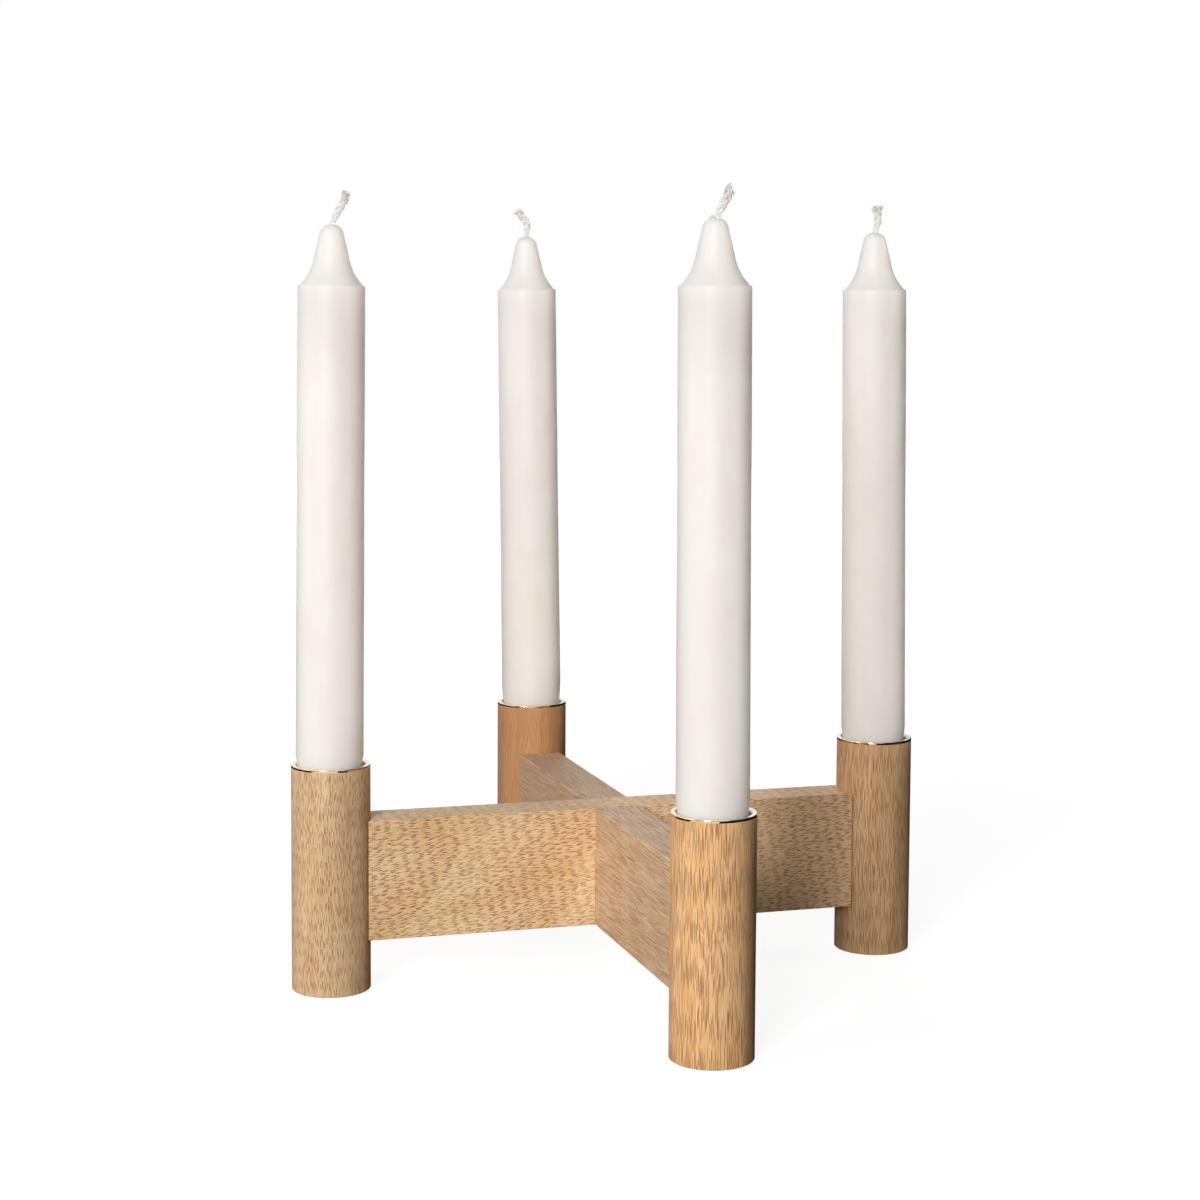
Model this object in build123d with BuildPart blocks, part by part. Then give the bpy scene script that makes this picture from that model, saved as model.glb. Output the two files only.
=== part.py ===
from build123d import *

import os
from math import cos, radians, sin

# Advent candle holder. Millimetres, +Z up, origin on the table at the middle of the cross.
# Left and right lie along X, front and back along Y, with the front at -Y.

# Posts
post_diameter = 26.0
post_height = 74.2
post_ease = 0.5
left_right_spacing = 193.0
front_back_spacing = 209.0

# Cross bars, their tops set a little below the tops of the posts
bar_height = 40.0
bar_thickness = 15.6
bar_drop = 17.4
bar_ease = 0.3
bar_end_round = 0.2
cope_relief = 2.0
glue_line = 0.1
lap_clearance = 0.1

# Dowels, two in each joint between a bar and a post, with some wood left between them and the cup
dowel_diameter = 6.0
dowel_length = 20.0
dowel_spacing = 16.0
dowel_cover = 2.2
dowel_chamfer = 0.8
dowel_clearance = 0.05
dowel_end_room = 0.5

# Brass cups
cup_depth = 24.0
cup_wall = 0.5
cup_floor = 0.6
cup_corner = 0.6
cup_clearance = 0.05
cup_end_room = 0.3
flange_thickness = 0.8
flange_ease = 0.25
bore_mouth_round = 0.6
candle_clearance = 0.5

# Candles: a pared foot that stands in the cup, a slightly tapered body and a concave crown
candle_length = 200.0
candle_diameter = 22.2
candle_shoulder_diameter = 21.8
candle_foot_diameter = 21.4
candle_end_diameter = 20.6
candle_end_chamfer = 0.8
candle_foot_show = 0.6
candle_paring_height = 2.4
crown_height = 19.7
crown_ledge = 0.7
crown_waist_height = 8.0
crown_waist_diameter = 11.8
crown_tip_diameter = 6.5

# Each candle stands a little off the middle of its cup, and leans by some degrees, both towards the right
left_shift = -0.5
left_lean = 0.4
right_shift = -0.1
right_lean = -0.7
front_shift = -0.2
front_lean = -0.3
back_shift = 0.3
back_lean = -0.9

# Wicks: a straight rise out of the wax, then a bend that runs sideways as it climbs
wick_diameter = 2.4
wick_clearance = 0.05
wick_bend = 3.0
wick_bearing = -17.0
left_wick_rise = 1.6
left_wick_run = 4.7
left_wick_climb = 9.3
right_wick_rise = 4.5
right_wick_run = 0.5
right_wick_climb = 5.6
front_wick_rise = 1.6
front_wick_run = 4.4
front_wick_climb = 8.8
back_wick_rise = 5.2
back_wick_run = -5.2
back_wick_climb = 5.2

# Sizes that follow from the ones above
post_radius = post_diameter / 2
bar_top = post_height - bar_drop
bar_lift = bar_top - bar_height
joint_radius = post_radius + glue_line
rim_height = post_height + flange_thickness
cup_bottom = rim_height - cup_depth
bore_radius = candle_foot_diameter / 2 + candle_clearance
cup_radius = bore_radius + cup_wall
socket_radius = cup_radius + cup_clearance
socket_floor = cup_bottom - cup_floor - cup_end_room
dowel_hole_radius = dowel_diameter / 2 + dowel_clearance
upper_dowel_height = socket_floor - dowel_cover - dowel_hole_radius
dowel_heights = {"lower": upper_dowel_height - dowel_spacing, "upper": upper_dowel_height}
wick_hole_radius = wick_diameter / 2 + wick_clearance
tip_round = 1.08 * crown_tip_diameter / 2

# Each post's place, and the way from it to the middle of the cross
places = {
    "left": Location((-left_right_spacing / 2, 0, 0), (0, 0, 0)),
    "right": Location((left_right_spacing / 2, 0, 0), (0, 0, 180)),
    "front": Location((0, -front_back_spacing / 2, 0), (0, 0, 90)),
    "back": Location((0, front_back_spacing / 2, 0), (0, 0, -90)),
}
stands = {
    "left": (left_shift, left_lean),
    "right": (right_shift, right_lean),
    "front": (front_shift, front_lean),
    "back": (back_shift, back_lean),
}
wick_bends = {
    "left": (left_wick_rise, left_wick_run, left_wick_climb),
    "right": (right_wick_rise, right_wick_run, right_wick_climb),
    "front": (front_wick_rise, front_wick_run, front_wick_climb),
    "back": (back_wick_rise, back_wick_run, back_wick_climb),
}

os.makedirs("parts", exist_ok=True)


def save(piece, name):
    """Labels a finished piece and writes its STEP file."""
    piece.label = name
    export_step(piece, f"parts/{name}.step")


def make_bar(spacing, notch_plane, notch_amount):
    """A bar along X between two posts, its ends hollowed for them, with dowel holes and half a cross lap."""
    cope_radius = post_radius + cope_relief
    cope_centre = spacing / 2 + cope_relief - glue_line
    hole_depth = joint_radius + dowel_length / 2 + dowel_end_room
    with BuildPart() as bar:
        with BuildSketch(Plane.XY.offset(bar_lift)) as outline:
            Rectangle(spacing, bar_thickness)
            with Locations((-cope_centre, 0), (cope_centre, 0)):
                Circle(cope_radius, mode=Mode.SUBTRACT)
            fillet(outline.vertices(), bar_end_round)
        extrude(amount=bar_height)
        level_faces = bar.faces().filter_by(Axis.Z).sort_by(Axis.Z)
        fillet(level_faces[0].edges() + level_faces[-1].edges(), bar_ease)
        with BuildSketch(notch_plane):
            Rectangle(bar_thickness + 2 * lap_clearance, bar_thickness)
        extrude(amount=notch_amount, mode=Mode.SUBTRACT)
        for end in (-1, 1):
            with BuildSketch(Plane.YZ.offset(end * spacing / 2)):
                with Locations(*[(0, height) for height in dowel_heights.values()]):
                    Circle(dowel_hole_radius)
            extrude(amount=-end * hole_depth, mode=Mode.SUBTRACT)
    return bar.part


# The two bars meet in a cross lap with flush tops: one is notched from below, the other from above
over_bar = make_bar(left_right_spacing, Plane.XY.offset(bar_lift), bar_height / 2)
under_bar = make_bar(front_back_spacing, Plane.XY.offset(bar_top), -bar_height / 2)

with BuildPart() as left_right_bar:
    add(over_bar)
save(left_right_bar.part, "left_right_bar")

with BuildPart() as front_back_bar:
    add(under_bar, rotation=(0, 0, 90))
save(front_back_bar.part, "front_back_bar")

# A post with its bar arriving from +X: dowel holes on that side and a socket for the cup on top
with BuildPart() as post:
    with BuildSketch():
        Circle(post_radius)
    extrude(amount=post_height)
    fillet(post.faces().sort_by(Axis.Z)[0].edges(), post_ease)
    with BuildSketch(Plane.XY.offset(post_height)):
        Circle(socket_radius)
    extrude(amount=socket_floor - post_height, mode=Mode.SUBTRACT)
    with BuildSketch(Plane.YZ.offset(post_radius)):
        with Locations(*[(0, height) for height in dowel_heights.values()]):
            Circle(dowel_hole_radius)
    extrude(amount=glue_line - dowel_length / 2 - dowel_end_room, mode=Mode.SUBTRACT)

# A dowel along X, centred on the joint
with BuildPart() as dowel:
    with BuildSketch(Plane.YZ.offset(joint_radius - dowel_length / 2)):
        Circle(dowel_diameter / 2)
    extrude(amount=dowel_length)
    chamfer(dowel.faces().filter_by(Axis.X).edges(), dowel_chamfer)

# A drawn brass cup that hangs in the post by its flange
with BuildPart() as cup:
    with BuildSketch(Plane.XZ):
        with BuildLine():
            Polyline(
                (0, cup_bottom),
                (bore_radius, cup_bottom),
                (bore_radius, rim_height),
                (post_radius, rim_height),
                (post_radius, post_height),
                (cup_radius, post_height),
                (cup_radius, cup_bottom - cup_floor),
                (0, cup_bottom - cup_floor),
                close=True,
            )
        make_face()
    revolve(axis=Axis.Z)
    level_faces = cup.faces().filter_by(Axis.Z).sort_by(Axis.Z)
    top_edges = level_faces[-1].edges().sort_by(SortBy.RADIUS)
    fillet(level_faces[0].edges(), cup_corner)
    fillet(top_edges[-1], flange_ease)
    fillet(top_edges[0], bore_mouth_round)

# A candle standing on the origin, with the hole that its wick fills
shoulder_height = candle_length - crown_height
foot_top = cup_depth + candle_foot_show
end_edge = Vector(candle_end_diameter / 2, 0)
waist = Vector(crown_waist_diameter / 2, shoulder_height + crown_waist_height)
tip_edge = Vector(crown_tip_diameter / 2, candle_length)
shoulder = Vector(candle_shoulder_diameter / 2, shoulder_height)
ledge = shoulder - Vector(crown_ledge, 0)
with BuildPart() as candle:
    with BuildSketch(Plane.XZ) as profile:
        with BuildLine():
            Polyline(
                tip_edge,
                (0, candle_length),
                (0, 0),
                end_edge,
                (candle_foot_diameter / 2, foot_top),
                (candle_diameter / 2, foot_top + candle_paring_height),
                shoulder,
                ledge,
            )
            TangentArc(waist, ledge, tangent=waist - tip_edge)
            Line(waist, tip_edge)
        make_face()
        fillet(profile.vertices().sort_by_distance(tip_edge)[0], tip_round)
        chamfer(profile.vertices().sort_by_distance(end_edge)[0], candle_end_chamfer)
    revolve(axis=Axis.Z)
    with BuildSketch():
        Circle(wick_hole_radius)
    extrude(amount=candle_length, mode=Mode.SUBTRACT)


def make_wick(rise, run, climb):
    """A wick from a candle's foot through the wax, bent above the tip."""
    bearing = radians(wick_bearing)
    knee = Vector(0, 0, candle_length + rise)
    reach = Vector(run * cos(bearing), run * sin(bearing), climb)
    with BuildPart() as wick:
        with BuildLine() as route:
            FilletPolyline((0, 0, 0), knee, knee + reach, radius=wick_bend)
        with BuildSketch(Plane.XY):
            Circle(wick_diameter / 2)
        sweep(path=route.wire())
    return wick.part


for side, place in places.items():
    with BuildPart() as placed_post:
        with Locations(place):
            add(post.part)
    save(placed_post.part, f"{side}_post")

    for level, height in dowel_heights.items():
        with BuildPart() as placed_dowel:
            with Locations(place):
                with Locations((0, 0, height)):
                    add(dowel.part)
        save(placed_dowel.part, f"{side}_{level}_dowel")

    with BuildPart() as placed_cup:
        with Locations(place):
            add(cup.part)
    save(placed_cup.part, f"{side}_cup")

    # A leaning candle stands on the lower edge of its end
    shift, lean = stands[side]
    end_lift = (candle_end_diameter / 2 - candle_end_chamfer) * sin(radians(abs(lean)))
    stand = Location(place.position + Vector(shift, 0, cup_bottom + end_lift), (0, lean, 0))
    with BuildPart() as placed_candle:
        with Locations(stand):
            add(candle.part)
    save(placed_candle.part, f"{side}_candle")

    with BuildPart() as placed_wick:
        with Locations(stand):
            add(make_wick(*wick_bends[side]))
    save(placed_wick.part, f"{side}_wick")
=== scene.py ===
"""Advent candle holder: a wooden cross on round posts, with brass cups, crown candles and cotton wicks."""

import math
import random
from typing import NamedTuple

import bmesh
import bpy
from bpy.props import FloatProperty, FloatVectorProperty, IntProperty, PointerProperty
from mathutils import Euler, Matrix, Vector, noise


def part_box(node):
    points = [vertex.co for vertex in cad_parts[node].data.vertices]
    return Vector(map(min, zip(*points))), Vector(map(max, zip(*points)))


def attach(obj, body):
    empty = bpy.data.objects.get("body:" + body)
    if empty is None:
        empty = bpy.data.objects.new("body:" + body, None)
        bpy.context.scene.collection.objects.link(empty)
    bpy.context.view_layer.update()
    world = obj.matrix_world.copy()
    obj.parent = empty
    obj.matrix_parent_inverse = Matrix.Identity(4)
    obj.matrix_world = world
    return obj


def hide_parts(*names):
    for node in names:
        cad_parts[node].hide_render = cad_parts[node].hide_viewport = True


bl_info = {
    "name": "Advent candle holder",
    "version": (1, 0, 0),
    "blender": (4, 5, 0),
    "location": "3D View > Sidebar > Candle holder",
    "description": "Finishes the wood, brass, wax and wicks of an advent candle holder",
    "category": "Object",
}

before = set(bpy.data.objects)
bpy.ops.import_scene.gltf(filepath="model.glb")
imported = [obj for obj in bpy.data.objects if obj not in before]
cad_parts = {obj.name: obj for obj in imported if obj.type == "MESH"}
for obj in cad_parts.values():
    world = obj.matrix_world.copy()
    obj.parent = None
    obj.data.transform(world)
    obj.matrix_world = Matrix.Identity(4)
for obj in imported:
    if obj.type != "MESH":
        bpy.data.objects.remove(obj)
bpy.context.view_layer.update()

SIDES = ("left", "right", "front", "back")
MM = 0.001
FULL_TURN = 2 * math.pi


def display(red, green, blue):
    """A colour as a screen shows it, from 0 to 255, as the linear values that shaders take."""
    linear = []
    for level in (red, green, blue):
        share = level / 255
        linear.append(share / 12.92 if share <= 0.04045 else ((share + 0.055) / 1.055) ** 2.4)
    return tuple(linear)


def opaque(colour):
    """A colour with full alpha, for a colour socket."""
    return (*colour[:3], 1.0)


def middle(node):
    """The middle of a node's box at rest."""
    low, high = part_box(node)
    return (low + high) / 2


# Shader nodes

class Value:
    """A number or colour that changes over a surface. Arithmetic on it adds Math nodes."""

    def __init__(self, nodes, socket):
        self.nodes = nodes
        self.socket = socket

    def math(self, operation, first, second=0.0):
        return self.nodes.node("ShaderNodeMath", {"operation": operation}, {0: first, 1: second})

    def __add__(self, other):
        return self.math("ADD", self, other)

    def __sub__(self, other):
        return self.math("SUBTRACT", self, other)

    def __rsub__(self, other):
        return self.math("SUBTRACT", other, self)

    def __mul__(self, other):
        return self.math("MULTIPLY", self, other)

    def __truediv__(self, other):
        return self.math("DIVIDE", self, other)

    __radd__ = __add__
    __rmul__ = __mul__

    def part_of_one(self):
        return self.math("FRACT", self)

    def most(self, other):
        return self.math("MAXIMUM", self, other)

    def other(self, output):
        """Another output of the same node."""
        return Value(self.nodes, self.socket.node.outputs[output])

    def step(self, low, high, start=0.0, end=1.0):
        """A smooth step from start, at low, to end, at high."""
        return self.nodes.node(
            "ShaderNodeMapRange",
            {"interpolation_type": "SMOOTHSTEP"},
            {"Value": self, "From Min": low, "From Max": high, "To Min": start, "To Max": end},
        )


class Nodes:
    """The shader nodes of a material or of the world."""

    def __init__(self, tree):
        self.tree = tree

    def plug(self, socket, value):
        if isinstance(value, Value):
            self.tree.links.new(value.socket, socket)
        else:
            socket.default_value = value

    def node(self, kind, settings=None, inputs=None, output=0):
        """Adds a node, sets it up, fills its sockets and returns one of its outputs."""
        made = self.tree.nodes.new(kind)
        for name, value in (settings or {}).items():
            setattr(made, name, value)
        for key, value in (inputs or {}).items():
            self.plug(made.inputs[key], value)
        return Value(self, made.outputs[output])


class Finish(Nodes):
    """A material being made: one Principled shader and the nodes that feed it."""

    def __init__(self, name, constants=None):
        self.material = bpy.data.materials.new(name)
        self.material.use_nodes = True
        super().__init__(self.material.node_tree)
        self.shader = self.tree.nodes["Principled BSDF"]
        for socket, value in (constants or {}).items():
            self.shader.inputs[socket].default_value = value

    def place(self):
        """The point on the piece, in metres, in the piece's own frame."""
        return self.node("ShaderNodeTexCoord", output="Object")

    def mapped(self, point, scale, turn=(0, 0, 0), shift=(0, 0, 0)):
        inputs = {"Vector": point, "Scale": scale, "Rotation": turn, "Location": shift}
        return self.node("ShaderNodeMapping", {}, inputs)

    def vector(self, operation, first, second, output=0):
        return self.node("ShaderNodeVectorMath", {"operation": operation}, {0: first, 1: second}, output)

    def clouds(self, point, scale, detail=2.0, output=0):
        """Soft noise. The scale is cells in each unit of the point, one number for each direction."""
        inputs = {"Vector": self.mapped(point, scale), "Scale": 1.0, "Detail": detail}
        return self.node("ShaderNodeTexNoise", {}, inputs, output)

    def part(self, vector, way):
        """How far a vector goes one way."""
        return self.vector("DOT_PRODUCT", vector, way, output="Value")

    def cells(self, point, scale, shift=(0, 0, 0)):
        """Distance from the nearest of many points scattered in X and Y, and its random number."""
        inputs = {"Vector": self.mapped(point, scale, shift=shift), "Scale": 1.0, "Randomness": 0.7}
        distance = self.node("ShaderNodeTexVoronoi", {"voronoi_dimensions": "2D"}, inputs)
        return distance, distance.other("Color")

    def blend(self, share, first, second):
        """A colour between two others."""
        return self.node("ShaderNodeMix", {"data_type": "RGBA"}, {0: share, 6: first, 7: second}, 2)

    def bump(self, height, distance, strength=1.0):
        inputs = {"Height": height, "Distance": distance, "Strength": strength}
        self.feed("Normal", self.node("ShaderNodeBump", {}, inputs))

    def feed(self, socket, value):
        self.plug(self.shader.inputs[socket], value)


# Sizes and colours that a user would change

class WoodSettings(bpy.types.PropertyGroup):
    pore_colour: FloatVectorProperty(
        name="Pore colour", description="Brown of the open pores", subtype="COLOR",
        default=display(170, 95, 34), min=0, max=1)
    line_colour: FloatVectorProperty(
        name="Line colour", description="Brown of the fine lines along the grain", subtype="COLOR",
        default=display(166, 110, 60), min=0, max=1)
    # Painted highlight: the lit lower wall of each pore, drawn as a paler rim beside it
    pore_highlight: FloatVectorProperty(
        name="Pale colour", description="Paler wood round the pores", subtype="COLOR",
        default=display(250, 222, 180), min=0, max=1)
    gold: FloatVectorProperty(
        name="Golden colour", description="Patches of yellower wood", subtype="COLOR",
        default=display(234, 192, 124), min=0, max=1)
    pore_depth: FloatProperty(
        name="Pore depth", description="How deep the pores look", unit="LENGTH", default=0.2 * MM)
    roughness: FloatProperty(
        name="Roughness", description="Roughness of the oiled wood", subtype="FACTOR",
        default=0.55, min=0, max=1)
    dowel_colour: FloatVectorProperty(
        name="Dowel colour", description="Plain wood of the hidden dowels", subtype="COLOR",
        default=display(214, 184, 142), min=0, max=1)


class BrassSettings(bpy.types.PropertyGroup):
    colour: FloatVectorProperty(
        name="Brass colour", description="Polished brass", subtype="COLOR",
        default=display(236, 206, 150), min=0, max=1)
    # Painted reflection: the pale colour stands in for the white room seen in the flange's top, and for
    # light inside the mouth
    painted_reflection: FloatVectorProperty(
        name="Buffed colour", description="Paler brass on top of the flange", subtype="COLOR",
        default=display(238, 230, 219), min=0, max=1)
    tarnish: FloatVectorProperty(
        name="Tarnish colour", description="Brass that has dulled a little", subtype="COLOR",
        default=display(216, 180, 120), min=0, max=1)


class CandleSettings(bpy.types.PropertyGroup):
    length: FloatProperty(
        name="Length", description="Foot to tip, without the wick", unit="LENGTH", default=200 * MM)
    body_radius: FloatProperty(
        name="Body radius", description="Radius just above the foot", unit="LENGTH", default=11.1 * MM)
    shoulder_radius: FloatProperty(
        name="Shoulder radius", description="Radius under the crown", unit="LENGTH", default=10.9 * MM)
    foot_radius: FloatProperty(
        name="Foot radius", description="Radius of the pared foot at the rim", unit="LENGTH",
        default=10.7 * MM)
    end_radius: FloatProperty(
        name="End radius", description="Radius of the lower end", unit="LENGTH", default=10.3 * MM)
    end_chamfer: FloatProperty(
        name="End chamfer", description="Chamfer of the lower end", unit="LENGTH", default=0.8 * MM)
    foot_top: FloatProperty(
        name="Foot height", description="Where the pared foot ends", unit="LENGTH", default=24.6 * MM)
    paring_height: FloatProperty(
        name="Paring height", description="Height over which the foot widens", unit="LENGTH",
        default=2.4 * MM)
    crown_height: FloatProperty(
        name="Crown height", description="Height of the hollow taper", unit="LENGTH", default=19.7 * MM)
    waist_height: FloatProperty(
        name="Waist height", description="Where the taper turns straight", unit="LENGTH",
        default=8.0 * MM)
    waist_radius: FloatProperty(
        name="Waist radius", description="Radius where the taper turns straight", unit="LENGTH",
        default=5.9 * MM)
    tip_radius: FloatProperty(
        name="Tip radius", description="Radius of the tip", unit="LENGTH", default=3.25 * MM)
    tip_round: FloatProperty(
        name="Tip rounding", description="Rounding of the tip's dome", unit="LENGTH", default=3.51 * MM)
    ledge: FloatProperty(
        name="Ledge", description="Width of the mould's ledge at the shoulder", unit="LENGTH",
        default=0.7 * MM)
    colour: FloatVectorProperty(
        name="Wax colour", description="Ivory white wax", subtype="COLOR",
        default=display(244, 240, 236), min=0, max=1)
    warm_colour: FloatVectorProperty(
        name="Deep wax colour", description="Wax where it looks a little warmer", subtype="COLOR",
        default=display(241, 236, 231), min=0, max=1)
    # Painted shade: the upper body and the crown are coloured darker, against the strong light from above
    crown_painted_shade: FloatVectorProperty(
        name="Crown colour", description="Thin wax of the crown, which lets more light through",
        subtype="COLOR", default=display(229, 226, 223), min=0, max=1)
    crown_shade_start: FloatProperty(
        name="Crown start", description="Height above the table where the crown's colour starts",
        unit="LENGTH", default=190 * MM)
    crown_shade_full: FloatProperty(
        name="Crown full", description="Height above the table where the crown's colour is full",
        unit="LENGTH", default=240 * MM)


class WickSettings(bpy.types.PropertyGroup):
    fibre_radius: FloatProperty(
        name="Fibre radius", description="Radius of one cotton fibre bundle", unit="LENGTH",
        default=0.11 * MM)
    strand_radius: FloatProperty(
        name="Strand radius", description="Radius of one strand of the braid", unit="LENGTH",
        default=0.6 * MM)
    braid_width: FloatProperty(
        name="Braid width", description="How far a strand swings sideways", unit="LENGTH",
        default=0.55 * MM)
    braid_period: FloatProperty(
        name="Braid period", description="Length of one full plait", unit="LENGTH", default=7.5 * MM)
    fibres: IntProperty(
        name="Fibres", description="Fibre bundles in each strand", default=18, min=3, max=30)
    colour: FloatVectorProperty(
        name="Cotton colour", description="Bleached cotton", subtype="COLOR",
        default=display(238, 235, 231), min=0, max=1)
    shade: FloatVectorProperty(
        name="Cotton shade", description="Cotton between its fibres", subtype="COLOR",
        default=display(226, 221, 215), min=0, max=1)


class StageSettings(bpy.types.PropertyGroup):
    azimuth: FloatProperty(
        name="Azimuth", description="How far left of the front the camera stands", subtype="ANGLE",
        default=math.radians(16.72))
    elevation: FloatProperty(
        name="Elevation", description="How far the camera looks down", subtype="ANGLE",
        default=math.radians(4.59))
    roll: FloatProperty(
        name="Roll", description="Camera roll", subtype="ANGLE", default=math.radians(0.32))
    distance: FloatProperty(
        name="Distance", description="Camera to its target", unit="LENGTH", default=0.80558)
    target_side: FloatProperty(
        name="Target to the right", description="Target, right of the middle", unit="LENGTH",
        default=-0.00442)
    target_height: FloatProperty(
        name="Target height", description="Target above the table", unit="LENGTH", default=0.16006)
    lens: FloatProperty(name="Lens", description="Focal length in millimetres", default=71.64)
    shift: FloatProperty(name="Shift", description="Vertical shift of the lens", default=-0.0833)
    key_power: FloatProperty(name="Key light", description="Watts of the front light", default=94.0)
    side_power: FloatProperty(name="Side light", description="Watts of the left light", default=6.0)
    top_power: FloatProperty(name="Top light", description="Watts of the light above", default=1.0)
    rear_power: FloatProperty(name="Rear light", description="Watts of the light behind", default=20.0)
    candle_power: FloatProperty(
        name="Candle light", description="Watts of the gridded light right of the candles",
        default=0.064)
    crown_power: FloatProperty(
        name="Crown light", description="Watts of the gridded light right of the crowns", default=0.014)
    shaded_power: FloatProperty(
        name="Shaded candle light", description="Watts of each gridded light on a shaded candle",
        default=0.013)
    ambient: FloatProperty(name="Ambient", description="Light from all round", default=0.05)


# Wood

class Board(NamedTuple):
    """How one wooden piece is cut. Lengths are in millimetres.

    The far tone is painted light and shade laid over part of the piece, not a tone of the wood. It comes
    in over a span along a bar, or round a post from its front.
    """
    grain: str
    tilt: tuple
    offset: tuple
    light: tuple
    deep: tuple
    golden: float
    line_length: float
    line_width: float
    line_strength: float
    pore_length: float
    pore_width: float
    pore_share: float
    pore_strength: float
    band_way: tuple
    band_width: float
    band_strength: float
    # Painted light and shade: the tone, how much of it, and the span it comes in over
    far: tuple = (0, 0, 0)
    painted_shading_share: float = 0.0
    painted_shading_span: tuple = (0, 50)


BOARDS = {
    "left_right_bar": Board(
        grain="X", tilt=(0, 10, 1), offset=(11, 40, 7),
        light=display(255, 224, 178), deep=display(242, 200, 150), golden=0.4,
        line_length=6.0, line_width=0.5, line_strength=0.3,
        pore_length=4.2, pore_width=0.54, pore_share=0.27, pore_strength=0.9,
        band_way=(0.79, 0.15, -0.62), band_width=44.0, band_strength=0.6,
        # Painted light: a lighter, redder tone on the right end, in the shadow of the front post
        far=display(255, 214, 168), painted_shading_share=0.9, painted_shading_span=(15, 50)),
    "front_back_bar": Board(
        grain="Y", tilt=(0, 1, 1), offset=(83, 5, 31),
        light=display(237, 206, 168), deep=display(211, 176, 139), golden=0.15,
        line_length=26.0, line_width=0.4, line_strength=0.55,
        pore_length=22.0, pore_width=0.42, pore_share=0.27, pore_strength=0.8,
        band_way=(0.05, 0.6, 0.8), band_width=9.0, band_strength=0.2,
        # Painted shade: a darker tone over the back half of the bar
        far=display(152, 127, 100), painted_shading_share=0.48),
    "left_post": Board(
        grain="Z", tilt=(0, 1, 1), offset=(7, 19, 71),
        light=display(233, 202, 160), deep=display(212, 177, 134), golden=0.2,
        line_length=8.0, line_width=0.5, line_strength=0.45,
        pore_length=5.2, pore_width=0.54, pore_share=0.26, pore_strength=0.85,
        band_way=(0.12, 0.9, 0.4), band_width=11.0, band_strength=0.4),
    "right_post": Board(
        grain="Z", tilt=(0, 0, 1), offset=(52, 3, 16),
        light=display(230, 190, 143), deep=display(201, 158, 112), golden=0.3,
        line_length=16.0, line_width=0.45, line_strength=0.6,
        pore_length=9.0, pore_width=0.48, pore_share=0.29, pore_strength=0.9,
        band_way=(0.06, 0.7, 0.7), band_width=8.0, band_strength=0.3),
    "front_post": Board(
        grain="Z", tilt=(0, 1, 2), offset=(29, 61, 5),
        light=display(255, 209, 153), deep=display(243, 184, 121), golden=0.35,
        line_length=24.0, line_width=0.4, line_strength=0.6,
        pore_length=14.0, pore_width=0.46, pore_share=0.28, pore_strength=0.95,
        band_way=(0.05, 1.0, 0.3), band_width=12.0, band_strength=0.35,
        # Painted shade: a dark tone on the right side of the post, round from its front
        far=display(112, 78, 54), painted_shading_share=0.45, painted_shading_span=(3, 11)),
    "back_post": Board(
        grain="Z", tilt=(0, 1, 0), offset=(64, 37, 48),
        light=display(212, 159, 109), deep=display(192, 136, 88), golden=0.2,
        line_length=12.0, line_width=0.6, line_strength=0.35,
        pore_length=7.0, pore_width=0.55, pore_share=0.27, pore_strength=0.4,
        band_way=(0.05, 0.8, 0.6), band_width=10.0, band_strength=0.2),
}

# Turns that lay a piece's grain along X
GRAIN_TURNS = {
    "X": Euler((0, 0, 0)),
    "Y": Euler((0, 0, -math.pi / 2)),
    "Z": Euler((0, math.pi / 2, 0)),
}
# Millimetres from a pore to its painted highlight, the lit lower wall of its groove
PORE_HIGHLIGHT_SHIFT = 0.32


def from_middle(finish, node):
    """The point in millimetres, with a round node's upright axis at the origin."""
    centre = middle(node)
    return finish.mapped(finish.place(), (1 / MM,) * 3, shift=(-centre.x / MM, -centre.y / MM, 0))


def round_surface(finish, node):
    """Millimetres round a post from its front, which meet at its back."""
    low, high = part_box(node)
    point = from_middle(finish, node)
    right = finish.part(point, (1, 0, 0))
    front = finish.part(point, (0, -1, 0))
    return right.math("ARCTAN2", right, front) * ((high.x - low.x) / 2 / MM)


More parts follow.
